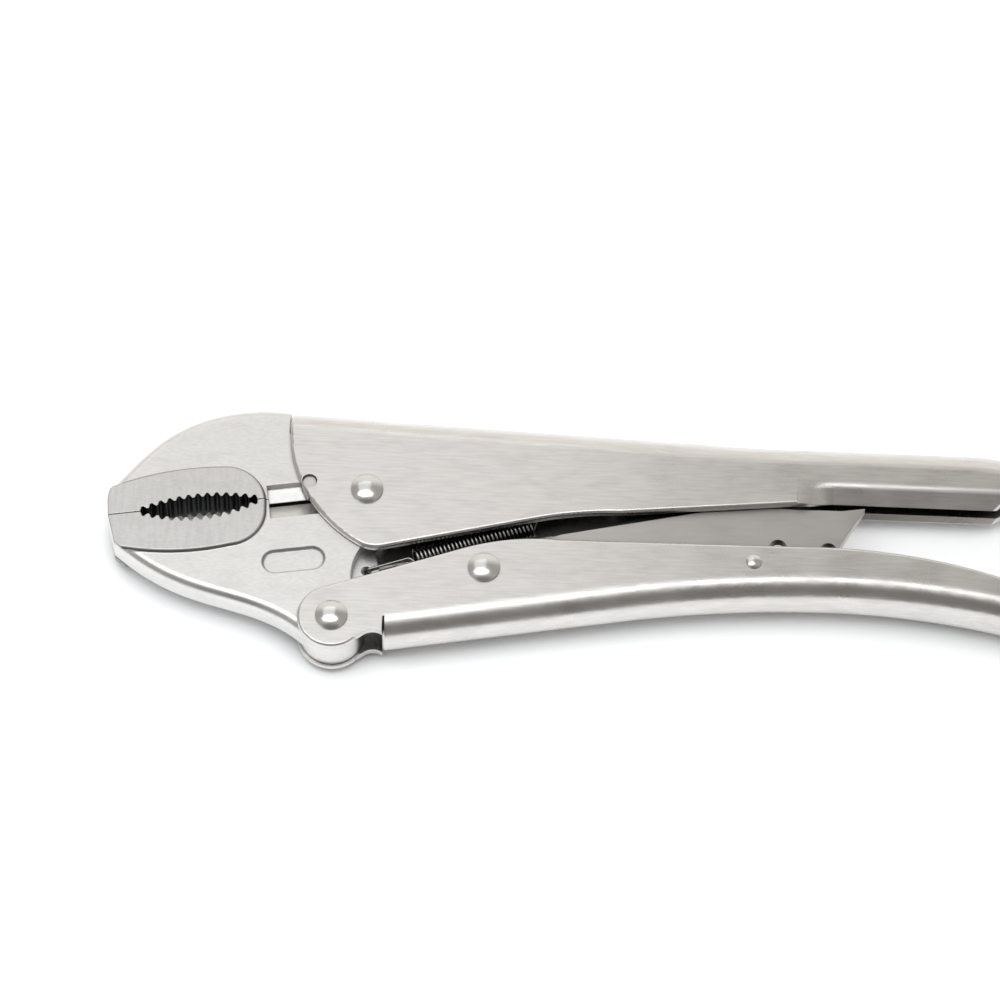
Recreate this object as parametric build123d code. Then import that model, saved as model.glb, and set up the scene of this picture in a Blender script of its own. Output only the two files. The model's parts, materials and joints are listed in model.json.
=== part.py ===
from build123d import *
import os
from math import atan2, cos, degrees, pi, radians, sin, sqrt

# Sizes in mm. The main pivot is at the origin, X runs to the rear, Y is up, Z is the thickness.
SHEET = 2.4
CHANNEL = 11.6
JAW_T = 11.0
PAD_RISE = 0.9
PAD_SLOPE = 0.85
SIDE_GAP = 0.12

PIVOT_B = (-8.7, -43.9)
PIVOT_C = (37.0, -25.6)
PIVOT_E = (119.3, -20.2)
TIP_X = 138.0

RIVET_R = 4.0
HEAD_R = 4.9
HEAD_H = 2.2
LEVER_RIVET_R = 1.6
LEVER_HEAD_R = 2.4
LEVER_HEAD_H = 1.1
PIN_R = 2.3
PIN_POS = (-17.8, 2.2)
PIN_SUNK = 0.9
ANCHOR_R = 1.5
ANCHOR_POS = (76.0, 2.6)
ANCHOR_SUNK = 1.2
FIT = 0.05

BACK_Y = 22.4
BACK_DROP = 5.8
BACK_RUN = 145.0
LIP_START = 132.0
LIP_FULL = 143.0
UPPER_END = 196.0
SLIT = 9.2
LIP_TOP_Y = 9.6
LIP_R = 5.0
LIP_TURN = radians(33)
ROUND = 1.0

EYE_R = 11.0
EYE_GAP = 0.4
EAR_R = 9.7
LUG_POS = (0.9, -24.6)
LUG_R = 4.0
LUG_T = 2.2
LUG_HOLE_R = 1.5
SPLIT_SLOPE = 0.1632
SPLIT_Y = 1.49
NOSE_X = -79.0

MOUTH_MID_X = -51.3
MOUTH_HALF = 18.4
UPPER_SAG = 2.8
LOWER_SAG = 3.9
TEETH = 13
TOOTH_DEPTH = 1.2
CUTTER_X = -30.2
CUTTER_END = -13.0
CUTTER_LAND = 1.0
UPPER_CUTTER = 4.75
LOWER_CUTTER = 6.6
RECESS_L = 19.3
RECESS_W = 7.9
RECESS_DEPTH = 1.2
RECESS_SLOPE = 0.5
RECESS_POS = (-21.4, -23.9)
RECESS_TURN = 9.0

LOWER_END = 207.0
LOWER_FRONT_R = 10.5
WEB_START = 6.9
WEB_BEND = 7.4
FLARE_START = 45.0
FLARE = 2.0

LEVER_T = 3.5
LEVER_Z = 5.3
LEVER_HOLE_R = 2.7
LEVER_HOLES = ((126.6, -13.3), (142.0, -13.8))
NOSE_POS = (58.8, -30.0)
NOSE_R = 1.7
LINK_T = 3.2
LINK_EYE_R = 7.5
HUB_WALL = 2.0
LEVER_HUB_WALL = 1.6
FORK_SHEET = 1.4
FORK_ROOT = 4.3
FORK_START = 8.5
FORK_GAP = 0.3

SCREW_R = 5.75
DOG_R = 1.9
DOG_L = 10.0
THREAD_END = 202.0
NECK_R = 4.0
KNOB_R = 7.3
KNOB_END = 220.0

WIRE_R = 0.55
COIL_R = 3.0
COIL_PITCH = 1.95
COIL_TURNS = 19
COIL_START = 13.0
HOOK_R = 1.8
HOOK_END = 10.0

HALF_IN = CHANNEL / 2
HALF_OUT = HALF_IN + SHEET
SCREW_Y = BACK_Y - HALF_OUT
THROUGH = HALF_OUT + FLARE + 4


def plate(face, half):
    return extrude(face, amount=half, both=True)


def round_bar(radius, half, pos):
    return Pos(pos[0], pos[1], 0) * Cylinder(radius, 2 * half)


def split_y(x):
    return SPLIT_Y + SPLIT_SLOPE * x


def handle_half(x):
    """Outer half width of the lower handle, which flares to the rear."""
    reach = max(0.0, x - FLARE_START)
    return HALF_OUT + FLARE * (reach / (LOWER_END - FLARE_START)) ** 2


def long_edges(solid, half, keep):
    """The edges that lie on the cheeks and pass the test on their centre."""
    return [e for e in solid.edges() if abs(e.center().Z) > half - 0.3 and keep(e.center())]


def handle_back(lift, front, rear):
    """The upper handle's back line, lowered by lift."""
    knee = BACK_Y - lift
    slope = BACK_DROP / BACK_RUN
    start = (front, knee + slope * (120 - front))
    bend = (112, knee + slope * 8)
    return [
        Line(start, bend),
        TangentArc(bend, (128, knee), tangent=(1, -slope)),
        Line((128, knee), (rear, knee)),
    ]


def upper_outer():
    lines = handle_back(0, -24.1, 184)
    top = (-24.1, BACK_Y + BACK_DROP / BACK_RUN * 144.1)
    corner = (2.0, -20.4)
    tail = (UPPER_END, BACK_Y - 1.2)
    lines.append(TangentArc((184, BACK_Y), tail, tangent=(1, 0)))
    lines.append(Polyline(tail, (UPPER_END, LIP_TOP_Y), (LIP_START, LIP_TOP_Y)))
    lines.append(Polyline((LIP_START, LIP_TOP_Y), (LIP_START, 0.9), (78, -4.6)))
    lines.append(TangentArc((52, -8), (78, -4.6), tangent=(50, 12.4)))
    lines.append(Line((52, -8), corner))
    lines.append(ThreePointArc(top, (-20.9, 3.0), corner))
    face = make_face(lines)
    tip = face.vertices().sort_by_distance(Vector(*corner, 0))[0]
    face = fillet(tip, 10)
    solid = plate(face, HALF_OUT)
    ridge = long_edges(solid, HALF_OUT, lambda c: c.Y > BACK_Y - 1.5 and c.X > -20)
    solid = fillet(ridge, HALF_OUT - 0.2)
    rim = long_edges(solid, HALF_OUT, lambda c: c.Y < 15 and c.X < LIP_START - 2)
    return fillet(rim, ROUND)


def upper_hollow():
    lines = handle_back(SHEET, -40, 210)
    end = BACK_Y - SHEET
    front = end + BACK_DROP / BACK_RUN * 160
    lines.append(Polyline((210, end), (210, -40), (-40, -40), (-40, front)))
    solid = plate(make_face(lines), HALF_IN)
    ridge = long_edges(solid, HALF_IN, lambda c: c.Y > end - 1 and c.X > -30 and c.X < 205)
    return fillet(ridge, HALF_IN - 0.2)


def lip_section(x, turn, length):
    """Section of the cheek's lower edge at x: bent in by that turn, then straight, of that length in all."""
    bend = LIP_R * LIP_TURN
    radius = bend / turn
    ways = []
    for r in (radius, radius - SHEET):
        start, middle, end = [
            Vector(HALF_OUT - radius + r * cos(a), LIP_TOP_Y - r * sin(a)) for a in (0, turn / 2, turn)
        ]
        ways.append((start, middle, end, end - Vector(sin(turn), cos(turn)) * (length - bend)))
    (a, b, c, d), (p, q, r, s) = ways
    lines = [ThreePointArc(a, b, c), Line(c, d), Line(d, s), Line(s, r), ThreePointArc(r, q, p), Line(p, a)]
    return Plane(origin=(x, 0, 0), x_dir=(0, 0, 1), z_dir=(-1, 0, 0)) * make_face(lines)


def bent_lip():
    """One lip under the screw: behind the release lever the cheek's lower edge is bent in."""
    straight = (HALF_OUT - SLIT / 2 - LIP_R * (1 - cos(LIP_TURN))) / sin(LIP_TURN)
    full = LIP_R * LIP_TURN + straight
    flat = LIP_TOP_Y - 0.9
    stages = []
    for t in (0.0, 0.25, 0.5, 0.75, 1.0):
        turn = max(0.02, LIP_TURN * t * t * (3 - 2 * t))
        stages.append(lip_section(LIP_START + t * (LIP_FULL - LIP_START), turn, flat + t * (full - flat)))
    lip = extrude(stages[-1], amount=UPPER_END - LIP_FULL, dir=(1, 0, 0))
    rear = make_face(Polyline((187, -2), (UPPER_END + 1, 7.0), (UPPER_END + 1, -2), close=True))
    return loft(stages) + lip - plate(rear, THROUGH)


def upper_handle():
    body = upper_outer() - upper_hollow()
    lip = bent_lip()
    body = body + lip + mirror(lip, Plane.XY)
    body -= round_bar(RIVET_R, THROUGH, (0, 0))
    body -= round_bar(PIN_R, THROUGH, PIN_POS)
    body -= round_bar(ANCHOR_R, HALF_OUT - ANCHOR_SUNK, ANCHOR_POS)
    return body


def mouth_cut(side, sag):
    """The toothed mouth of one jaw: side 1 above the split line, -1 below it."""
    radius = (MOUTH_HALF ** 2 + sag ** 2) / (2 * sag)
    half_angle = atan2(MOUTH_HALF, radius - sag)
    cut = Pos(0, side * (sag - radius)) * Circle(radius)
    step = 2 * half_angle / TEETH
    for i in range(TEETH):
        turn = (i - (TEETH - 1) / 2) * step
        base = radius * step * 0.46
        root = base * 0.2
        foot, top = radius - 0.3, radius + TOOTH_DEPTH
        notch = make_face(Polyline((-base, foot), (-root, top), (root, top), (base, foot), close=True))
        facing = degrees(turn) if side > 0 else degrees(turn) + 180
        cut += Pos(0, side * (sag - radius)) * Rot(0, 0, facing) * notch
    keep = Pos(0, side * 20) * Rectangle(2 * MOUTH_HALF + 1, 40.4)
    place = Pos(MOUTH_MID_X, split_y(MOUTH_MID_X)) * Rot(0, 0, degrees(atan2(SPLIT_SLOPE, 1)))
    return plate(place * (cut & keep), THROUGH)


def cutter_slot(side, width):
    """The wire cutter's slots in both faces of one jaw: a steep wall, then a slope to the cutting edge."""
    front = (CUTTER_X, split_y(CUTTER_X), 0)
    start = Plane(origin=front, x_dir=(-SPLIT_SLOPE * side, side, 0), z_dir=(1, SPLIT_SLOPE, 0))
    face = JAW_T / 2 + 0.1
    points = ((-0.3, 0), (0.5, 0), (0.5, CUTTER_LAND), (width - 0.15, 2.9), (width, face), (-0.3, face))
    slot = extrude(start * make_face(Polyline(*points, close=True)), amount=CUTTER_END - CUTTER_X)
    return slot + mirror(slot, Plane.XY)


def pad_outline():
    lines = [
        ThreePointArc((-84, -4), (-62, 4.8), (-42, 7.4)),
        ThreePointArc((-42, 7.4), (-34.2, 3.4), (-30.6, -6.4)),
        ThreePointArc((-30.6, -6.4), (-32.2, -14.2), (-41, -20.2)),
        ThreePointArc((-41, -20.2), (-60, -23.4), (-84, -20.8)),
        Line((-84, -20.8), (-84, -4)),
    ]
    return make_face(lines)


def raised_pad(outline):
    """The raised flat on both faces round the mouth, sloped where it meets the jaw's own face."""
    foot = pad_outline()
    top = offset(foot, -PAD_SLOPE)
    pad = loft([Pos(0, 0, JAW_T / 2) * foot, Pos(0, 0, JAW_T / 2 + PAD_RISE) * top], ruled=True)
    pad &= plate(outline, JAW_T)
    return pad + mirror(pad, Plane.XY)


def rounded_back(face, radius, keep):
    solid = plate(face, JAW_T / 2)
    return fillet(long_edges(solid, JAW_T / 2, keep), radius)


def fixed_jaw():
    g = SIDE_GAP
    nose = (NOSE_X - 0.3, -7.9)
    shoulder = (-24.8, 28.0)
    lines = [
        Polyline((9, 4), (-9, split_y(-9) + g), (NOSE_X, split_y(NOSE_X) + g), nose),
        Spline(nose, (-78.9, -2.4), (-74.5, 4.6), (-66.3, 14.3), (-52.6, 23.8), (-40, 27.5), shoulder),
        Polyline(shoulder, (-24.8, 19.8), (9, 18.4), (9, 4)),
    ]
    outline = make_face(lines)
    jaw = rounded_back(outline, 3.0, lambda c: c.Y > 8 and c.X < -30)
    jaw += raised_pad(outline)
    jaw -= round_bar(EYE_R + EYE_GAP, THROUGH, (0, 0))
    jaw -= mouth_cut(1, UPPER_SAG)
    under_handle = round_bar(44.05, THROUGH, (19.7, 20.6))
    jaw -= cutter_slot(1, UPPER_CUTTER) - under_handle
    jaw -= round_bar(PIN_R, THROUGH, PIN_POS)
    return jaw


def face_recess():
    """The shallow round-ended recess in one face of the lower jaw, with sloped sides."""
    floor = SlotOverall(RECESS_L - 2 * RECESS_SLOPE, RECESS_W - 2 * RECESS_SLOPE)
    return loft([SlotOverall(RECESS_L, RECESS_W), Pos(0, 0, -RECESS_DEPTH) * floor], ruled=True)


def lower_jaw():
    g = SIDE_GAP
    ear = (-16.5, -49.7)
    chin = (-76.6, -20.4)
    lines = [
        Polyline((ear[0] + 6, ear[1]), (-3, -45), (3.6, -27.6), (4.4, -22), (3, -17.5), (8, -6)),
        Line((8, -6), (-4, split_y(-4) - g)),
        Line((-4, split_y(-4) - g), (NOSE_X, split_y(NOSE_X) - g)),
        Line((NOSE_X, split_y(NOSE_X) - g), chin),
        Spline(chin, (-69.6, -25.9), (-61, -31.0), (-49, -35.6), (-36, -39.2), (-25.4, -43.4), ear),
        Line(ear, (ear[0] + 6, ear[1])),
    ]
    outline = make_face(lines)
    jaw = rounded_back(outline, 3.0, lambda c: c.Y < -24 and c.X < -20)
    jaw += round_bar(EYE_R, JAW_T / 2, (0, 0))
    jaw += round_bar(EAR_R, JAW_T / 2, PIVOT_B)
    jaw += round_bar(LUG_R, JAW_T / 2, LUG_POS)
    jaw += raised_pad(outline)
    jaw -= mouth_cut(-1, LOWER_SAG)
    jaw -= cutter_slot(-1, LOWER_CUTTER)
    thin = Pos(LUG_POS[0] + 13.3, LUG_POS[1] - 3.4) * Circle(17.8)
    for side in (1, -1):
        jaw -= Pos(0, 0, side * (LUG_T / 2 + 5)) * plate(thin, 5)
    jaw -= Pos(*RECESS_POS, JAW_T / 2) * Rot(0, 0, RECESS_TURN) * face_recess()
    jaw -= round_bar(LUG_HOLE_R, THROUGH, LUG_POS)
    jaw -= round_bar(RIVET_R + FIT, THROUGH, (0, 0))
    jaw -= round_bar(RIVET_R + FIT, THROUGH, PIVOT_B)
    return jaw


def web_lines(lift, front, rear):
    """The lower handle's web line, raised by lift: straight, then arched for the hand."""
    slope = 13.2 / 73
    knee = (80, -36.8 + lift)
    crown = (141, -30.8 + lift)
    tail = (rear, -38.3 + lift - 0.3 * (rear - LOWER_END))
    start = (front, knee[1] - slope * (80 - front))
    arch = TangentArc(knee, crown, tangent=(1, slope))
    return [Line(start, knee), arch, TangentArc(crown, tail, tangent=arch % 1)], start, tail


def width_plan(half, rear):
    """Plan of the lower handle between its cheeks, seen along Y."""
    flare = FLARE * ((rear - FLARE_START) / (LOWER_END - FLARE_START)) ** 2
    side = [
        Line((-40, half), (FLARE_START, half)),
        TangentArc((FLARE_START, half), (rear, half + flare), tangent=(1, 0)),
    ]
    other = [mirror(edge, Plane.XZ) for edge in side]
    caps = [Line((-40, half), (-40, -half)), Line((rear, half + flare), (rear, -half - flare))]
    plan = Plane(origin=(0, 0, 0), x_dir=(1, 0, 0), z_dir=(0, -1, 0))
    return extrude(plan * make_face(side + other + caps), amount=80, both=True)


def lower_outer():
    web, start, tail = web_lines(0, WEB_START, LOWER_END)
    brow = (PIVOT_B[0] - 3.4, PIVOT_B[1] + 9.93)
    bend = (60, -14.6)
    level = (140, -14.1)
    top_tail = (LOWER_END + 1.5, -27.6)
    lines = web + [
        Polyline(start, PIVOT_B, brow, (30, -18.8)),
        TangentArc((30, -18.8), bend, tangent=(30 - brow[0], -18.8 - brow[1])),
        Line(bend, level),
        TangentArc(level, top_tail, tangent=(1, 0)),
        Line(top_tail, tail),
    ]
    face = make_face(lines) + Pos(*PIVOT_B) * Circle(LOWER_FRONT_R)
    notch = Rectangle(8, 24, align=(Align.MAX, Align.CENTER))
    face -= Pos(WEB_START, start[1] - 5.4) * notch
    top_corner = face.vertices().sort_by_distance(Vector(*top_tail, 0))[0]
    face = fillet(top_corner, 3)
    solid = plate(face, THROUGH) & width_plan(HALF_OUT, LOWER_END + 6)
    fold = long_edges(solid, HALF_OUT, lambda c: c.Y < -29.8 and 12 < c.X < LOWER_END - 4)
    solid = fillet(fold, WEB_BEND)
    rim = long_edges(solid, HALF_OUT, lambda c: c.X < PIVOT_B[0] - 5)
    solid = fillet(rim, ROUND)
    mouth = [e for e in solid.edges() if abs(e.center().X - WEB_START) < 0.01 and e.center().Y < -44]
    return fillet(mouth, ROUND)


def lower_hollow():
    web, start, tail = web_lines(SHEET, WEB_START, LOWER_END + 6)
    under = (WEB_START, -80)
    lines = web + [Polyline(start, under, (-40, -80), (-40, 0), (LOWER_END + 6, 0), tail)]
    solid = plate(make_face(lines), THROUGH) & width_plan(HALF_IN, LOWER_END + 6)
    fold = long_edges(solid, HALF_IN, lambda c: -50 < c.Y < -25 and 12 < c.X < LOWER_END + 4)
    return fillet(fold, WEB_BEND - SHEET)


def chin_plate():
    """The cheeks' lower edge between the front round and the start of the web."""
    x, y = WEB_START, -49.9
    lines = [
        Polyline((x, y + 1.0), (x, y + 9), (-4, y + 9), (-7, y - 3.6)),
        ThreePointArc((-7, y - 3.6), (-1.5, y - 1.1), (1.2, y + 0.7)),
        ThreePointArc((1.2, y + 0.7), (3.8, y + 1.8), (x, y + 1.0)),
    ]
    return plate(make_face(lines), HALF_OUT) - Box(80, 200, 2 * HALF_IN)


def lower_handle():
    body = lower_outer() - lower_hollow()
    body += chin_plate()
    body -= round_bar(RIVET_R, THROUGH, PIVOT_B)
    body -= round_bar(RIVET_R, THROUGH, PIVOT_C)
    body -= round_bar(LEVER_RIVET_R, THROUGH, PIVOT_E)
    return body


def domed_rivet(shaft, head, height, seat, pos):
    """A rivet with a low rim and a domed head on each side, seated at the half width seat."""
    rim = height * 0.25
    rise = height - rim
    ball = (head ** 2 + rise ** 2) / (2 * rise)
    shoulder = seat + height - ball + sqrt(ball ** 2 - head ** 2 / 4)
    dome = [
        Polyline((0, seat), (head, seat), (head, seat + rim)),
        ThreePointArc((head, seat + rim), (head / 2, shoulder), (0, seat + height)),
        Line((0, seat + height), (0, seat)),
    ]
    cap = revolve(Plane.XZ * make_face(dome), Axis.Z)
    rivet = Cylinder(shaft, 2 * seat + 0.2) + cap + mirror(cap, Plane.XY)
    return Pos(pos[0], pos[1], 0) * rivet


def cross_pin(radius, sunk, pos):
    """A plain pin through both cheeks of the upper handle, its ends sunk below them."""
    pin = Cylinder(radius, 2 * (HALF_OUT - sunk))
    pin = fillet(pin.edges().filter_by(GeomType.CIRCLE), 0.25)
    return Pos(pos[0], pos[1], 0) * pin


def toggle_link():
    """A flat bar with an eye, and at the rear a fork round the screw's tip, which bears on its root."""
    run = sqrt((TIP_X - PIVOT_C[0]) ** 2 + (SCREW_Y - PIVOT_C[1]) ** 2)
    turn = degrees(atan2(SCREW_Y - PIVOT_C[1], TIP_X - PIVOT_C[0]))
    inner = DOG_R + FORK_GAP
    bar = make_face(Polyline((0, 4.6), (run + 4, 3.0), (run + 4, -3.0), (0, -4.6), close=True))
    tips = [v for v in bar.vertices() if v.X > run]
    bar = fillet(tips, 2.4)
    rear = Rectangle(40, 40, align=(Align.MIN, Align.CENTER))
    link = plate(bar + Circle(LINK_EYE_R), LINK_T / 2)
    link += plate(bar & Pos(run - FORK_START, 0) * rear, inner + FORK_SHEET)
    link -= plate(Pos(run - FORK_ROOT, 0) * rear, inner)
    link += Cylinder(RIVET_R + HUB_WALL, CHANNEL - 2 * SIDE_GAP)
    link -= Cylinder(RIVET_R + FIT, CHANNEL)
    return Pos(PIVOT_C[0], PIVOT_C[1], 0) * Rot(0, 0, turn) * link


def release_lever():
    """A flat lever beside the link, with a hub on its rivet and a cross-pin that lifts the link."""
    heel = (152.9, 1.3)
    knee = (145.2, -12.5)
    bend = (102, -2.2)
    lines = [
        Polyline((56, -32), (54.6, -14.2), (60, -11.7), bend),
        TangentArc(bend, (132, 0.1), tangent=(42, 9.5)),
        Polyline((132, 0.1), (146, 0.2), heel, knee, (145, -19)),
        Polyline((145, -19), (124, -26), (95, -24.5), (66, -32.2), (56, -32)),
    ]
    lever = Pos(0, 0, LEVER_Z - LEVER_T / 2) * plate(make_face(lines), LEVER_T / 2)
    lever += Pos(*NOSE_POS, (LEVER_Z - LINK_T / 2) / 2) * Cylinder(NOSE_R, LEVER_Z + LINK_T / 2)
    lever += round_bar(LEVER_RIVET_R + LEVER_HUB_WALL, HALF_IN - SIDE_GAP, PIVOT_E)
    for hole in LEVER_HOLES:
        lever -= round_bar(LEVER_HOLE_R, THROUGH, hole)
    lever -= round_bar(LEVER_RIVET_R + FIT, THROUGH, PIVOT_E)
    return lever


def arc_pair(p0, t0, p1, t1):
    """Two arcs that leave p0 along t0 and reach p1 along t1, joined smoothly."""
    v = p1 - p0
    s = v.dot(t0 + t1)
    k = 2 * (1 - t0.dot(t1))
    d = (sqrt(s * s + k * v.dot(v)) - s) / k
    q0 = p0 + t0 * d
    q1 = p1 - t1 * d
    joint = (q0 + q1) * 0.5
    arcs = []
    for a, q, b in ((p0, q0, joint), (joint, q1, p1)):
        mid = (a + b) * 0.5
        w = (mid - a).length / (q - a).length
        arcs.append(ThreePointArc(a, (mid + q * w) * (1 / (1 + w)), b))
    return arcs


def coil_point(turn):
    """Point and direction of the coil, in its own frame with the axis along X."""
    a = 2 * pi * turn
    point = Vector(COIL_START + 2 + COIL_PITCH * turn, -COIL_R * sin(a), COIL_R * cos(a))
    way = Vector(COIL_PITCH / (2 * pi), -COIL_R * cos(a), -COIL_R * sin(a)).normalized()
    return point, way


def spring_stations(reach):
    """Points and directions along the wire, from the hook in the lug to the loop on the anchor pin."""
    along = Vector(1, 0, 0)
    bend = HOOK_R - 0.2
    stations = [(Vector(HOOK_END, 0, -HOOK_R), along * -1), (Vector(bend, 0, -HOOK_R), along * -1)]
    stations.append((Vector(bend - HOOK_R, 0, 0), Vector(0, 0, 1)))
    stations.append((Vector(bend, 0, HOOK_R), along))
    stations.append((Vector(COIL_START, 0, HOOK_R), along))
    for i in range(2, 4 * COIL_TURNS + 3, 2):
        stations.append(coil_point((i - 1) / 4))
    end = stations[-1][0]
    loop = ANCHOR_R + WIRE_R + 0.15
    stations.append((Vector(end.X + 4, loop, 0), along))
    stations.append((Vector(reach, loop, 0), along))
    stations.append((Vector(reach + loop, 0, 0), Vector(0, -1, 0)))
    stations.append((Vector(reach, -loop, 0), along * -1))
    stations.append((Vector(reach - 2.5, -loop, 0), along * -1))
    return stations


def least_gap(points, wire):
    """Least distance between stretches of the wire that are not neighbours, less its thickness."""
    least = 1e9
    reach = int(5 * wire / 0.35)
    for i, a in enumerate(points):
        for b in points[i + reach:]:
            least = min(least, (a - b).length)
    return least - wire


def opening_spring():
    across = (ANCHOR_POS[0] - LUG_POS[0], ANCHOR_POS[1] - LUG_POS[1])
    reach = sqrt(across[0] ** 2 + across[1] ** 2)
    stations = spring_stations(reach)
    edges = []
    for (p0, t0), (p1, t1) in zip(stations, stations[1:]):
        if (p1 - p0).normalized().dot(t0) > 0.9999 and t0.dot(t1) > 0.9999:
            edges.append(Line(p0, p1))
        else:
            edges += arc_pair(p0, t0, p1, t1)
    path = Wire(edges)
    count = int(path.length / 0.35)
    points = [path.position_at(i / count) for i in range(count + 1)]
    print("spring: least gap of the wire to itself", round(least_gap(points, 2 * WIRE_R), 2), "mm")
    start = Plane(origin=stations[0][0], z_dir=stations[0][1])
    wire = sweep(start * Circle(WIRE_R), path=path)
    return Pos(LUG_POS[0], LUG_POS[1], 0) * Rot(0, 0, degrees(atan2(across[1], across[0]))) * wire


def along_screw(radius, start, end):
    bar = Cylinder(radius, end - start, rotation=(0, 90, 0))
    return Pos((start + end) / 2, SCREW_Y, 0) * bar


def adjusting_screw():
    shank = along_screw(SCREW_R, TIP_X + DOG_L, THREAD_END)
    shank = chamfer(shank.edges().filter_by(GeomType.CIRCLE), 0.8)
    dog = along_screw(DOG_R, TIP_X, TIP_X + DOG_L + 0.2)
    neck = along_screw(NECK_R, THREAD_END - 0.2, KNOB_END - 4)
    return shank + dog + neck


def adjusting_knob():
    knob = along_screw(KNOB_R, THREAD_END, KNOB_END)
    knob = chamfer(knob.edges().filter_by(GeomType.CIRCLE), 1.2)
    return knob - along_screw(NECK_R + FIT, THREAD_END - 1, KNOB_END - 4 + FIT)


def build_nodes():
    lever_seat = handle_half(PIVOT_E[0] + LEVER_HEAD_R)
    return {
        "upper_handle": upper_handle(),
        "fixed_jaw": fixed_jaw(),
        "fixed_jaw_pin": cross_pin(PIN_R, PIN_SUNK, PIN_POS),
        "jaw_pivot_rivet": domed_rivet(RIVET_R, HEAD_R, HEAD_H, HALF_OUT, (0, 0)),
        "spring_anchor_pin": cross_pin(ANCHOR_R, ANCHOR_SUNK, ANCHOR_POS),
        "lower_jaw": lower_jaw(),
        "lower_handle": lower_handle(),
        "jaw_handle_rivet": domed_rivet(RIVET_R, HEAD_R, HEAD_H, HALF_OUT, PIVOT_B),
        "link_rivet": domed_rivet(RIVET_R, HEAD_R, HEAD_H, HALF_OUT, PIVOT_C),
        "lever_rivet": domed_rivet(LEVER_RIVET_R, LEVER_HEAD_R, LEVER_HEAD_H, lever_seat, PIVOT_E),
        "toggle_link": toggle_link(),
        "release_lever": release_lever(),
        "opening_spring": opening_spring(),
        "adjusting_screw": adjusting_screw(),
        "adjusting_knob": adjusting_knob(),
    }


def frame_shift(nodes):
    """The move that puts the middle of the underside of the whole tool at the origin."""
    boxes = [solid.bounding_box() for solid in nodes.values()]
    low = [min(getattr(box.min, axis) for box in boxes) for axis in "XYZ"]
    high = [max(getattr(box.max, axis) for box in boxes) for axis in "XYZ"]
    return Vector(-(low[0] + high[0]) / 2, -(low[1] + high[1]) / 2, -low[2])


def main():
    os.makedirs("parts", exist_ok=True)
    nodes = build_nodes()
    shift = frame_shift(nodes)
    for name, solid in nodes.items():
        export_step(Pos(shift.X, shift.Y, shift.Z) * solid, "parts/" + name + ".step")
    return nodes, shift


NODES, SHIFT = main()
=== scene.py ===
import json
from math import atan2, cos, pi, radians, sin

import bpy
from mathutils import Matrix, Vector

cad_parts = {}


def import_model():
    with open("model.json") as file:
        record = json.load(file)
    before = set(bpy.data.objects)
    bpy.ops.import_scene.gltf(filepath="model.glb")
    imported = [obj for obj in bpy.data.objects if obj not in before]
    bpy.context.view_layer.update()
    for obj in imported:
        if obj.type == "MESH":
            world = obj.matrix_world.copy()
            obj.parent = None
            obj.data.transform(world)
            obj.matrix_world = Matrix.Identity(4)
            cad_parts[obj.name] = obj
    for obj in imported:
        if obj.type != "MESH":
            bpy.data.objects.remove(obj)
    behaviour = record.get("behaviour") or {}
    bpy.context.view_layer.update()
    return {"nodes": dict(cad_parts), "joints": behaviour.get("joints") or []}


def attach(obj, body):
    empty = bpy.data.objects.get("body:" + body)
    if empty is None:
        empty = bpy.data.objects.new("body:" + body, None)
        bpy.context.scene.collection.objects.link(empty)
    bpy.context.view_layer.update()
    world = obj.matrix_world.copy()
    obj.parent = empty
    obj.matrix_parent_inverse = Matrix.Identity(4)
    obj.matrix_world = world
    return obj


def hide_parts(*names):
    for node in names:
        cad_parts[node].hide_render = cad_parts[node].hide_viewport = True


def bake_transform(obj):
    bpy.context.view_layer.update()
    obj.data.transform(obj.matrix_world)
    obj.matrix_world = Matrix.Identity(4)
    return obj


# Places in mm in the tool's own frame: the main pivot is at the origin, X to the rear, Y up, Z across.
MM = 0.001

# Opening spring: a hook in the jaw's lug, a coil, and a loop round the anchor pin.
LUG = (0.9, -24.6)
ANCHOR = (76.0, 2.6)
ANCHOR_R = 1.5
WIRE_R = 0.42
WIRE_FINENESS = 3
COIL_R = 3.1
COIL_PITCH = 1.25
COIL_TURNS = 30
COIL_START = 13.0
COIL_LEAD = 2.0
COIL_PHASE = 0.25
COIL_STEPS = 28
HOOK_R = 1.8
HOOK_SET = 0.2
HOOK_END = 10.0
HOOK_STEPS = 8
SHANK_STEPS = 6
ARC_STEPS = 16
LOOP_PLAY = 0.15
LOOP_RUN = 4.0
LOOP_TAIL = 2.5
BEND_PULL = 0.42
BEND_STEPS = (10, 12)

# Marks and painted shade on the forged jaws.
PAD_Z = 6.4
PAD_RIM = (0.25, 0.1)
PAD_LINES = (0.79, 0.84)
PAD_GLOSS = 0.02
SLOPE_Z = (0.1, 0.3)
SLOPE_SHADE = 0.38
MOUTH = (-51.3, -6.88)
MOUTH_HALF = 20.0
MOUTH_RISE = 6.2
MOUTH_RIM = (0.95, 1.1)
MOUTH_WALL = (0.3, 0.6)
MOUTH_SHADE = 0.05
SPLIT_SLOPE = 0.1632
JAW_Z = 5.5
CUTTER_X = (-30.4, -12.9)
CUTTER_HALF = 0.6
CUTTER_Z = 1.1
RECESS = (-21.4, -23.9)
RECESS_TURN = 9.0
RECESS_HALF = 5.7
RECESS_R = 3.95
RECESS_LINE = (0.2, 0.1)
RECESS_FADE = 0.3
RECESS_SHADE = 0.6

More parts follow.
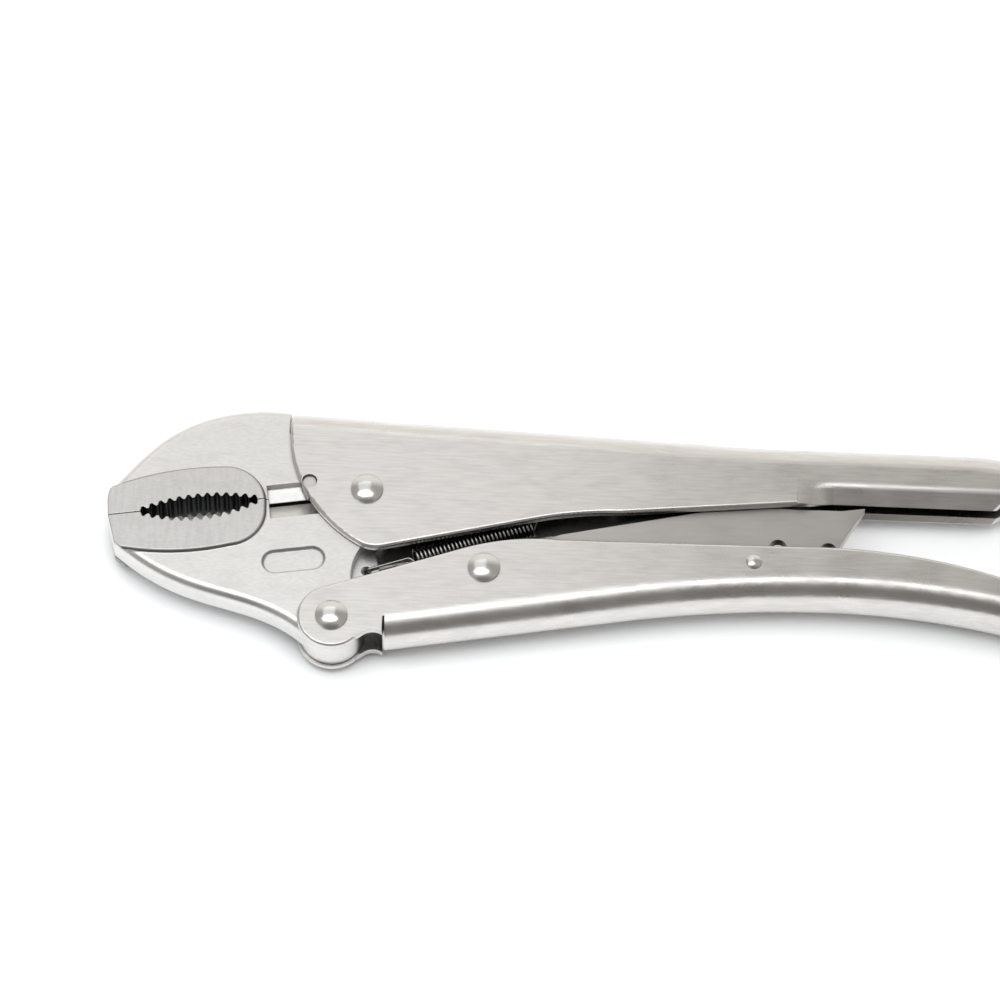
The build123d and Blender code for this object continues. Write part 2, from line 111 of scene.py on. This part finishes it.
# Adjusting screw and its knob.
SCREW_Y = 14.2
SCREW_R = 5.75
SCREW_SIDES = 40
THREAD_PITCH = 1.75
THREAD_DEPTH = 0.9
THREAD_FLANK = 1.35
THREAD_STEPS = 10
THREAD_END = 202.0
RUNOUT = 1.6
RUNOUT_DROP = 1.2
TIP_X = 138.0
TIP_CHAMFER = 0.6
DOG_R = 1.9
DOG_L = 10.0
SHOULDER = TIP_X + DOG_L
SHOULDER_STEP = 0.01
KNOB_R = 7.3
KNOB_END = 220.0
KNOB_CHAMFER = 1.2
KNOB_SET = 0.35
KNOB_RIM = 0.5
KNOB_STEP = 0.17
KNURLS = 34
KNURL_SIDES = 6
KNURL_PITCH = 1.35
KNURL_DEPTH = 0.55
KNURL_FLAT = 0.45

# Scales of the noise in the steel, by what it varies, and the height of the pebbling.
GRAIN_SCALE = 1500
WEAR_SCALE = 260
WEAR_STRETCH = (0.4, 1, 1)
GLOSS_SCALE = 70
GLOSS_RANGE = (0.04, 0.05)
PEBBLE_SCALE = 2600
PEBBLE_HEIGHT = 0.4
PAD_SCALE = 900
PAD_STRETCH = (1, 0.12, 1)
DRAWN = (0.08, 1, 1)
ROLLED = (0.1, 1, 1)
FORGED = (0.4, 1, 1)

# Shade in gaps: reach in mm, tone deep inside, and whether only the piece itself shuts it in.
INSIDE = (14, 0.12, True)
SEAM = (1.6, 0.45, False)
FOOT = (3.2, 0.15, False)
GAP = (14, 0.25, False)
SHUT = (0.25, 0.85)

# Brightness of the room by the depth of a direction: -1 is towards the camera, 1 away from it.
ROOM = ((-1, 0.21), (-0.56, 0.19), (-0.35, 0.46), (0.1, 0.42), (0.5, 0.42), (0.8, 0.9), (1, 1.0))
ROOM_SIDE = 0.4
ROOM_SIDE_X = (0.3, 0.65)
ROOM_TINT = (1.0, 0.965, 0.91)

# Soft boxes in metres: shape, place, the point it faces, width and depth, power in watts.
BOXES = {
    "top_box": ("RECTANGLE", (-0.18, 0.21, 0.40), (-0.18, 0, 0), (0.40, 0.40), 0.24),
    "front_box": ("ELLIPSE", (-0.14, -0.045, 0.40), (-0.14, -0.03, 0), (0.52, 0.21), 0.50),
}
BOX_TINT = (0.95, 0.975, 1.0)

FLOOR_SIZE = 6
FLOOR_COLOR = (0.88, 0.9, 0.925, 1)
FLOOR_ROUGH = 0.9
FLOOR_SPECULAR = 0.1
FLOOR_LIFT = 0.55
FLOOR_SHADE = 12.0

VIEW_AZ = 2.5
VIEW_EL = 62.0
VIEW_LENS = 300.0
VIEW_SENSOR = 36
VIEW_PX = 1000
VIEW_CLIP = (0.05, 20)
PX_PER_MM = 3.25
VIEW_CENTRE = (40.7, 2.3, 0.0)


def pivot_in_frame(frame):
    """The main pivot at mid thickness, in the row frame."""
    hinge = next(j for j in frame["joints"] if j["name"] == "jaw_hinge")
    return Vector(hinge["pos_m"])


def place(origin, x, y, z=0.0):
    return origin + Vector((x, y, z)) * MM


def node(tree, kind, **values):
    made = tree.nodes.new("ShaderNode" + kind)
    for name, value in values.items():
        setattr(made, name, value)
    return made


def feed(tree, value, socket):
    """Give a socket a number, or link another node's output to it."""
    if isinstance(value, (int, float)):
        socket.default_value = value
    else:
        tree.links.new(value, socket)


def maths(tree, operation, *values):
    made = node(tree, "Math", operation=operation)
    for socket, value in zip(made.inputs, values):
        feed(tree, value, socket)
    return made.outputs["Value"]


def lerp(tree, share, low, high):
    """From low at a share of 0 to high at a share of 1."""
    made = node(tree, "Mix")
    tree.links.new(share, made.inputs[0])
    feed(tree, low, made.inputs[2])
    feed(tree, high, made.inputs[3])
    return made.outputs[0]


def remap(tree, value, old, new):
    made = node(tree, "MapRange", interpolation_type="SMOOTHSTEP")
    for socket, number in zip(("From Min", "From Max", "To Min", "To Max"), (*old, *new)):
        made.inputs[socket].default_value = number
    tree.links.new(value, made.inputs["Value"])
    return made.outputs["Result"]


def axes(tree, vector):
    made = node(tree, "SeparateXYZ")
    tree.links.new(vector, made.inputs["Vector"])
    return made.outputs["X"], made.outputs["Y"], made.outputs["Z"]


def scaled(tree, color, share):
    """A colour times a varying share."""
    made = node(tree, "VectorMath", operation="SCALE")
    made.inputs[0].default_value = color
    tree.links.new(share, made.inputs["Scale"])
    return made.outputs["Vector"]


def noise(tree, where, scale, detail, stretch=(1, 1, 1)):
    """Fine noise over the piece's own frame, longer along the axes that stretch is small on."""
    mapping = node(tree, "Mapping")
    mapping.inputs["Scale"].default_value = stretch
    tree.links.new(where, mapping.inputs["Vector"])
    made = node(tree, "TexNoise")
    made.inputs["Scale"].default_value = scale
    made.inputs["Detail"].default_value = detail
    tree.links.new(mapping.outputs["Vector"], made.inputs["Vector"])
    return made.outputs["Fac"]


def painted_shade(tree, reach, low, local):
    """Painted shade where a surface is shut in, from ambient occlusion: 1 in the open, low deep in a gap.
    """
    shut = node(tree, "AmbientOcclusion", samples=8, only_local=local)
    shut.inputs["Distance"].default_value = reach * MM
    return remap(tree, shut.outputs["AO"], SHUT, (low, 1))


def within(tree, value, low, high, soft):
    """1 where a length in mm lies between two bounds, fading to 0 over soft."""
    over = remap(tree, value, ((low - soft) * MM, low * MM), (0, 1))
    under = remap(tree, value, (high * MM, (high + soft) * MM), (1, 0))
    return maths(tree, "MULTIPLY", over, under)


def dimmed(tree, tone, share, low):
    """A tone that falls to low times itself where share is 1."""
    return maths(tree, "MULTIPLY", tone, lerp(tree, share, 1.0, low))


def metal(name, color, rough, grain=(1, 1, 1), edge=0.3, pebble=0.02, streak=0.05, shade=(), marks=None):
    """Plated steel: softened edges, faint cloudy gloss, fine pebbling and drawing marks along one way."""
    mat = bpy.data.materials.new(name)
    mat.use_nodes = True
    tree = mat.node_tree
    link = tree.links.new
    shader = tree.nodes["Principled BSDF"]
    shader.inputs["Metallic"].default_value = 1.0
    where = node(tree, "TexCoord").outputs["Object"]

    tone = remap(tree, noise(tree, where, GRAIN_SCALE, 3, grain), (0.3, 0.7), (1 - streak, 1))
    worn = remap(tree, noise(tree, where, WEAR_SCALE, 4, WEAR_STRETCH), (0.45, 0.8), (1, 1 - streak))
    tone = maths(tree, "MULTIPLY", tone, worn)
    # Painted shade in gaps and corners, from ambient occlusion.
    for depth in shade:
        tone = maths(tree, "MULTIPLY", tone, painted_shade(tree, *depth))
    cloudy = (rough - GLOSS_RANGE[0], rough + GLOSS_RANGE[1])
    gloss = remap(tree, noise(tree, where, GLOSS_SCALE, 4), (0.3, 0.7), cloudy)
    # The jaws' marks add painted shade as well as grinding lines.
    if marks:
        tone, gloss = marks(tree, where, tone, gloss)
    link(scaled(tree, color, tone), shader.inputs["Base Color"])
    link(gloss, shader.inputs["Roughness"])

    soft = node(tree, "Bevel", samples=6)
    soft.inputs["Radius"].default_value = edge * MM
    bump = node(tree, "Bump")
    bump.inputs["Strength"].default_value = pebble
    bump.inputs["Distance"].default_value = PEBBLE_HEIGHT * MM
    link(noise(tree, where, PEBBLE_SCALE, 2), bump.inputs["Height"])
    link(soft.outputs["Normal"], bump.inputs["Normal"])
    link(bump.outputs["Normal"], shader.inputs["Normal"])
    return mat


def ground_pads(tree, where, height, tone, gloss):
    """Grinding lines on the raised pads, and painted shade on the slope round them."""
    rim = [(PAD_Z - below) * MM for below in PAD_RIM]
    pad = remap(tree, height, rim, (0, 1))
    lines = noise(tree, where, PAD_SCALE, 3, PAD_STRETCH)
    ground = remap(tree, lines, (0.35, 0.65), PAD_LINES)
    tone = maths(tree, "MULTIPLY", tone, lerp(tree, pad, 1.0, ground))
    gloss = maths(tree, "ADD", gloss, maths(tree, "MULTIPLY", pad, PAD_GLOSS))
    # Painted shade on the slope round each pad.
    slope = within(tree, height, JAW_Z + SLOPE_Z[0], PAD_Z - SLOPE_Z[1], 0.05)
    return dimmed(tree, tone, slope, SLOPE_SHADE), gloss


def mouth_walls(tree, east, north):
    """1 on the upright walls inside the mouth's oval, which get painted shade."""
    across = maths(tree, "DIVIDE", east, MOUTH_HALF * MM)
    up = maths(tree, "DIVIDE", north, MOUTH_RISE * MM)
    away = maths(tree, "ADD", maths(tree, "POWER", across, 2), maths(tree, "POWER", up, 2))
    inside = remap(tree, away, MOUTH_RIM, (1, 0))
    upright = axes(tree, node(tree, "NewGeometry").outputs["Normal"])[2]
    wall = remap(tree, maths(tree, "ABSOLUTE", upright), MOUTH_WALL, (1, 0))
    return maths(tree, "MULTIPLY", inside, wall)


def cutter_slit(tree, east, north, height):
    """1 along the slit between the wire cutter's edges, which gets painted shade."""
    slit = within(tree, north, -CUTTER_HALF, CUTTER_HALF, 0.1)
    slit = maths(tree, "MULTIPLY", slit, within(tree, height, -1, CUTTER_Z, 0.1))
    reach = [at - MOUTH[0] for at in CUTTER_X]
    return maths(tree, "MULTIPLY", slit, within(tree, east, *reach, 0.1))


def recess_shade_line(tree, origin, x, y, z):
    """1 on a thin line along the round-ended recess in the near face, which gets painted shade."""
    middle = place(origin, *RECESS)
    a = radians(RECESS_TURN)
    east = maths(tree, "SUBTRACT", x, middle.x)
    north = maths(tree, "SUBTRACT", y, middle.y)
    along = maths(tree, "MULTIPLY_ADD", north, sin(a), maths(tree, "MULTIPLY", east, cos(a)))
    side = maths(tree, "MULTIPLY_ADD", north, cos(a), maths(tree, "MULTIPLY", east, -sin(a)))
    past = maths(tree, "SUBTRACT", maths(tree, "ABSOLUTE", along), RECESS_HALF * MM)
    past = maths(tree, "MAXIMUM", past, 0.0)
    out = maths(tree, "ADD", maths(tree, "POWER", past, 2), maths(tree, "POWER", side, 2))
    out = maths(tree, "SQRT", out)
    line = within(tree, out, RECESS_R - RECESS_LINE[0], RECESS_R + RECESS_LINE[1], RECESS_FADE)
    near = maths(tree, "GREATER_THAN", z, origin.z)
    return maths(tree, "MULTIPLY", line, near)


def jaw_marks_and_shade(origin):
    """The forgings' ground pads, and painted shade: near black in the mouth and cutter, darker on the
    slopes round the pads and along the recess's outline.
    """
    middle = place(origin, *MOUTH)

    def add(tree, where, tone, gloss):
        x, y, z = axes(tree, where)
        height = maths(tree, "ABSOLUTE", maths(tree, "SUBTRACT", z, origin.z))
        tone, gloss = ground_pads(tree, where, height, tone, gloss)
        east = maths(tree, "SUBTRACT", x, middle.x)
        rise = maths(tree, "SUBTRACT", y, middle.y)
        north = maths(tree, "SUBTRACT", rise, maths(tree, "MULTIPLY", east, SPLIT_SLOPE))
        # Painted shade: near black on the mouth's walls and in the cutter's slit, darker along the
        # recess.
        tone = dimmed(tree, tone, mouth_walls(tree, east, north), MOUTH_SHADE)
        tone = dimmed(tree, tone, cutter_slit(tree, east, north, height), MOUTH_SHADE)
        tone = dimmed(tree, tone, recess_shade_line(tree, origin, x, y, z), RECESS_SHADE)
        return tone, gloss

    return add


def plated_sheet():
    return metal(
        "plated_sheet", (0.80, 0.785, 0.765), 0.30, DRAWN, edge=0.4, pebble=0.01, streak=0.09,
        shade=(INSIDE, SEAM),
    )


def plated_forging(origin):
    return metal(
        "plated_forging", (0.82, 0.812, 0.80), 0.32, FORGED, edge=0.6, pebble=0.06, streak=0.07,
        shade=(SEAM,), marks=jaw_marks_and_shade(origin),
    )


def rivet_steel():
    return metal("rivet_steel", (0.76, 0.755, 0.745), 0.2, pebble=0.01, streak=0.02, shade=(FOOT,))


def shaded_lever_sheet():
    # Its darker base colour is partly its own and partly painted shade from the upper handle.
    return metal("shaded_lever_sheet", (0.58, 0.565, 0.545), 0.34, ROLLED, shade=(GAP,))


def link_steel():
    return metal("link_steel", (0.4, 0.39, 0.38), 0.42, ROLLED, shade=(GAP,))


def spring_steel():
    return metal("spring_steel", (0.6, 0.6, 0.59), 0.25, edge=0.1, pebble=0.0, shade=(GAP,))


def screw_steel():
    return metal("screw_steel", (0.74, 0.735, 0.72), 0.25, edge=0.15, pebble=0.0)


def dress(nodes, names, mat):
    for name in names:
        slots = nodes[name].data.materials
        slots.clear()
        slots.append(mat)


def smooth_object(name, mesh, mat):
    """A mesh as a smooth object of one material."""
    mesh.materials.clear()
    mesh.materials.append(mat)
    mesh.polygons.foreach_set("use_smooth", [True] * len(mesh.polygons))
    mesh.update()
    obj = bpy.data.objects.new(name, mesh)
    bpy.context.scene.collection.objects.link(obj)
    return obj


def turned(name, stations, radius_at, around, origin, mat):
    """A closed turned piece along the screw's axis, with the radius free to vary around it."""
    verts = []
    for x in stations:
        for i in range(around):
            a = 2 * pi * i / around
            r = radius_at(x, a)
            verts.append(place(origin, x, SCREW_Y + r * cos(a), r * sin(a)))
    faces = []
    for k in range(len(stations) - 1):
        for i in range(around):
            j = (i + 1) % around
            low = k * around
            faces.append((low + i, low + j, low + around + j, low + around + i))
    last = (len(stations) - 1) * around
    faces.append(list(range(around))[::-1])
    faces.append([last + i for i in range(around)])
    mesh = bpy.data.meshes.new(name)
    mesh.from_pydata(verts, [], faces)
    return smooth_object(name, mesh, mat)


def zigzag(t):
    """1 at whole numbers and 0 half-way between them."""
    return abs(2 * (t % 1.0) - 1)


def spread(start, end, step):
    """Evenly spaced numbers from start to end, about a step apart."""
    count = max(1, round((end - start) / step))
    return [start + (end - start) * i / count for i in range(count + 1)]


def screw_radius(x, a):
    if x < SHOULDER:
        return min(DOG_R, DOG_R - TIP_CHAMFER + (x - TIP_X))
    valley = 1 - zigzag(x / THREAD_PITCH - a / (2 * pi))
    crest = SCREW_R - THREAD_DEPTH * min(1.0, THREAD_FLANK * valley)
    lead = min(1.0, (x - SHOULDER) / RUNOUT, (THREAD_END - x) / RUNOUT)
    return crest - RUNOUT_DROP * (1 - max(0.0, lead))


def adjusting_screw(origin, mat):
    stations = spread(TIP_X, TIP_X + TIP_CHAMFER, TIP_CHAMFER / 2)
    stations.append(SHOULDER - SHOULDER_STEP)
    stations += spread(SHOULDER, THREAD_END, THREAD_PITCH / THREAD_STEPS)
    return turned("screw_threaded", stations, screw_radius, SCREW_SIDES, origin, mat)


def knob_radius(x, a):
    band = min(x - THREAD_END, KNOB_END - x)
    if band < KNOB_CHAMFER:
        return KNOB_R - KNOB_CHAMFER + band - KNOB_SET
    around = KNURLS * a / (2 * pi)
    along = (x - THREAD_END) / KNURL_PITCH
    groove = max(zigzag(around + along), zigzag(around - along))
    return KNOB_R - KNURL_DEPTH * max(0.0, groove - KNURL_FLAT) / (1 - KNURL_FLAT)


def adjusting_knob(origin, mat):
    grip = spread(THREAD_END + KNOB_RIM, KNOB_END - KNOB_RIM, KNOB_STEP)
    stations = [THREAD_END] + grip + [KNOB_END]
    return turned("knob_knurled", stations, knob_radius, KNURL_SIDES * KNURLS, origin, mat)


def bezier(p0, t0, p1, t1, count):
    """Points on a smooth bend from p0 along t0 to p1 along t1, without the first point."""
    pull = (p1 - p0).length * BEND_PULL
    a = p0 + t0 * pull
    b = p1 - t1 * pull
    points = []
    for i in range(1, count + 1):
        t = i / count
        s = 1 - t
        points.append(p0 * s ** 3 + a * (3 * s * s * t) + b * (3 * s * t * t) + p1 * t ** 3)
    return points


def coil_point(turn):
    a = 2 * pi * turn
    return Vector((COIL_START + COIL_LEAD + COIL_PITCH * turn, -COIL_R * sin(a), COIL_R * cos(a)))


def spring_line(reach):
    """The wire's middle line with the spring's own axis along X: hook, coil, loop."""
    along = Vector((1, 0, 0))
    down = Vector((0, 0, -1))
    bend = HOOK_R - HOOK_SET
    loop = ANCHOR_R + WIRE_R + LOOP_PLAY
    line = [Vector((HOOK_END - i, 0, -HOOK_R)) for i in range(HOOK_STEPS)]
    for i in range(ARC_STEPS + 1):
        a = radians(-90 + 180 * i / ARC_STEPS)
        line.append(Vector((bend - HOOK_R * cos(a), 0, HOOK_R * sin(a))))
    for i in range(1, SHANK_STEPS + 1):
        line.append(Vector((bend + (COIL_START - bend) * i / SHANK_STEPS, 0, HOOK_R)))
    line += bezier(line[-1], along, coil_point(COIL_PHASE), down, BEND_STEPS[0])
    for i in range(1, COIL_STEPS * COIL_TURNS + 1):
        line.append(coil_point(COIL_PHASE + i / COIL_STEPS))
    end = line[-1]
    line += bezier(end, down, Vector((end.x + LOOP_RUN, loop, 0)), along, BEND_STEPS[1])
    line.append(Vector((reach, loop, 0)))
    for i in range(1, ARC_STEPS + 1):
        a = pi * i / ARC_STEPS
        line.append(Vector((reach + loop * sin(a), loop * cos(a), 0)))
    line.append(Vector((reach - LOOP_TAIL, -loop, 0)))
    return line


def opening_spring(origin, mat):
    across = Vector((ANCHOR[0] - LUG[0], ANCHOR[1] - LUG[1], 0))
    turn = Matrix.Rotation(atan2(across.y, across.x), 4, "Z")
    base = Vector((*LUG, 0))
    curve = bpy.data.curves.new("spring_wire", "CURVE")
    curve.dimensions = "3D"
    curve.bevel_depth = WIRE_R * MM
    curve.bevel_resolution = WIRE_FINENESS
    curve.use_fill_caps = True
    line = spring_line(across.length)
    spline = curve.splines.new("POLY")
    spline.points.add(len(line) - 1)
    for point, local in zip(spline.points, line):
        point.co = (*(origin + (base + turn @ local) * MM), 1)
    wire = bpy.data.objects.new("spring_wire", curve)
    mesh = bpy.data.meshes.new_from_object(wire)
    bpy.data.objects.remove(wire)
    obj = smooth_object("spring_coiled", mesh, mat)
    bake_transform(obj)
    return obj


def aimed(obj, at):
    """Turn a lamp to a point, with its width kept along X."""
    back = (obj.location - Vector(at)).normalized()
    right = (Vector((1, 0, 0)) - back * back.x).normalized()
    obj.rotation_mode = "QUATERNION"
    obj.rotation_quaternion = Matrix((right, back.cross(right), back)).transposed().to_quaternion()


def soft_box(name, shape, where, at, size, power):
    data = bpy.data.lights.new(name, "AREA")
    data.shape = shape
    data.color = BOX_TINT
    data.size, data.size_y = size
    data.energy = power
    lamp = bpy.data.objects.new(name, data)
    bpy.context.scene.collection.objects.link(lamp)
    lamp.location = where
    aimed(lamp, at)


def studio():
    """Two soft boxes over the jaws' end: a square one behind the tool and a flat oval one above it."""
    for name, values in BOXES.items():
        soft_box(name, *values)


def room():
    """A room that is bright behind the tool, dim above and beside it and darkest round the camera."""
    world = bpy.data.worlds.new("room")
    bpy.context.scene.world = world
    world.use_nodes = True
    tree = world.node_tree
    x, y, _ = axes(tree, node(tree, "TexCoord").outputs["Generated"])
    ramp = node(tree, "ValToRGB")
    stops = ramp.color_ramp.elements
    for depth, _ in ROOM[1:-1]:
        stops.new((depth + 1) / 2)
    for stop, (_, grey) in zip(stops, ROOM):
        stop.color = (grey, grey, grey, 1)
    tree.links.new(maths(tree, "MULTIPLY_ADD", y, 0.5, 0.5), ramp.inputs["Fac"])
    beside = remap(tree, maths(tree, "ABSOLUTE", x), ROOM_SIDE_X, (0, ROOM_SIDE))
    light = maths(tree, "MAXIMUM", ramp.outputs["Color"], beside)
    tree.links.new(scaled(tree, ROOM_TINT, light), tree.nodes["Background"].inputs["Color"])


def floor():
    """A pale floor that the camera and reflections see as white, with the tool's real shadow on it and
    painted shade round and under the tool in its white lift.
    """
    bpy.ops.mesh.primitive_plane_add(size=FLOOR_SIZE, location=(0, 0, 0))
    obj = bpy.context.object
    obj.name = "floor"
    mat = bpy.data.materials.new("pale_floor")
    mat.use_nodes = True
    tree = mat.node_tree
    shader = tree.nodes["Principled BSDF"]
    shader.inputs["Base Color"].default_value = FLOOR_COLOR
    shader.inputs["Roughness"].default_value = FLOOR_ROUGH
    shader.inputs["Specular IOR Level"].default_value = FLOOR_SPECULAR
    shader.inputs["Emission Color"].default_value = (1, 1, 1, 1)
    path = node(tree, "LightPath").outputs
    seen = maths(tree, "MAXIMUM", path["Is Camera Ray"], path["Is Glossy Ray"])
    seen = maths(tree, "MAXIMUM", seen, path["Is Transmission Ray"])
    lift = maths(tree, "MULTIPLY", seen, FLOOR_LIFT)
    # Painted shadow: the white lift fades to nothing where the tool shuts the floor in.
    lift = maths(tree, "MULTIPLY", lift, painted_shade(tree, FLOOR_SHADE, 0.0, False))
    tree.links.new(lift, shader.inputs["Emission Strength"])
    obj.data.materials.append(mat)


def camera(origin):
    data = bpy.data.cameras.new("camera")
    data.lens = VIEW_LENS
    data.sensor_width = VIEW_SENSOR
    cam = bpy.data.objects.new("camera", data)
    bpy.context.scene.collection.objects.link(cam)
    a, e = radians(VIEW_AZ), radians(VIEW_EL)
    back = Vector((sin(a) * cos(e), -cos(a) * cos(e), sin(e)))
    far = VIEW_PX / PX_PER_MM * VIEW_LENS / VIEW_SENSOR * MM
    target = place(origin, *VIEW_CENTRE)
    cam.location = target + back * far
    cam.rotation_mode = "QUATERNION"
    cam.rotation_quaternion = (-back).to_track_quat("-Z", "Y")
    data.clip_start, data.clip_end = VIEW_CLIP
    bpy.context.scene.camera = cam


def main():
    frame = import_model()
    nodes = frame["nodes"]
    origin = pivot_in_frame(frame)
    bpy.context.scene.view_settings.view_transform = "Standard"
    camera(origin)
    floor()
    studio()
    room()

    bright = screw_steel()
    rivets = ("jaw_pivot_rivet", "jaw_handle_rivet", "link_rivet", "lever_rivet")
    dress(nodes, ("upper_handle", "lower_handle"), plated_sheet())
    dress(nodes, ("fixed_jaw", "lower_jaw", "fixed_jaw_pin"), plated_forging(origin))
    dress(nodes, rivets, rivet_steel())
    dress(nodes, ("release_lever", "spring_anchor_pin"), shaded_lever_sheet())
    dress(nodes, ("toggle_link",), link_steel())
    dress(nodes, ("opening_spring", "adjusting_screw", "adjusting_knob"), bright)

    spring = opening_spring(origin, spring_steel())
    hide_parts("opening_spring")
    screw = adjusting_screw(origin, bright)
    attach(screw, "screw")
    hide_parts("adjusting_screw")
    knob = adjusting_knob(origin, bright)
    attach(knob, "knob")
    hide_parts("adjusting_knob")


main()
